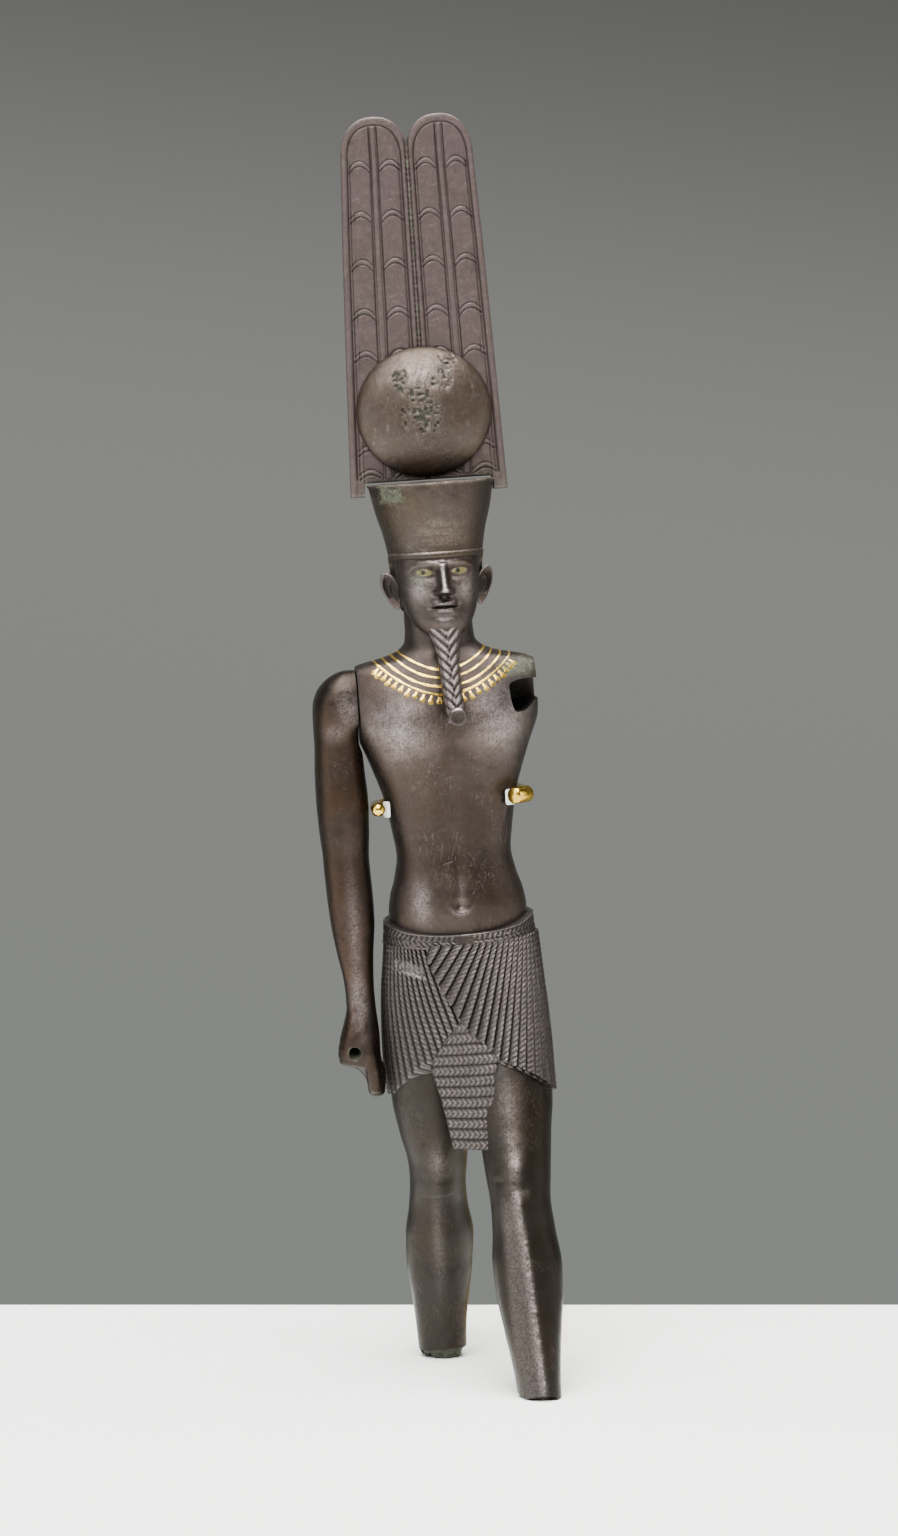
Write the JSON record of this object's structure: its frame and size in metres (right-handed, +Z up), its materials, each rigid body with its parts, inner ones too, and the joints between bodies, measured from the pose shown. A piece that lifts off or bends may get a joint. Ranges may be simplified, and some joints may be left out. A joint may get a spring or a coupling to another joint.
{
  "type": "amun-ra statuette",
  "caption": "Striding bronze figure with a tall double-plume crown and sun disk, pleated kilt, one arm and both feet lost, held up by a brass rod and cradle on a narrow foot.",
  "frame": {"origin": "middle of the bounding box's underside, on the surface that the leg stumps and the stand's foot rest on", "axes": "+Z up the figure, towards the plumes; the figure faces and strides along -Y; +X is its own left, the side of the lost arm"},
  "size_m": [0.0488, 0.0864, 0.2201],
  "materials": {
    "bronze": "dark brown cast bronze with a worn satin sheen, gold-inlaid collar",
    "plume_bronze": "mauve-brown bronze with incised feathers and green corrosion in the hollows",
    "arm_bronze": "warm brown satin bronze",
    "stand_brass": "polished round rod",
    "pad_felt": "white felt"
  },
  "bodies": {
    "root": {"figure": "bronze", "plumes_and_disk": "plume_bronze", "right_arm": "arm_bronze", "stand_cradle": "stand_brass", "stand_foot": "stand_brass", "pad_left": "pad_felt", "pad_right": "pad_felt"}
  },
  "joints": []
}
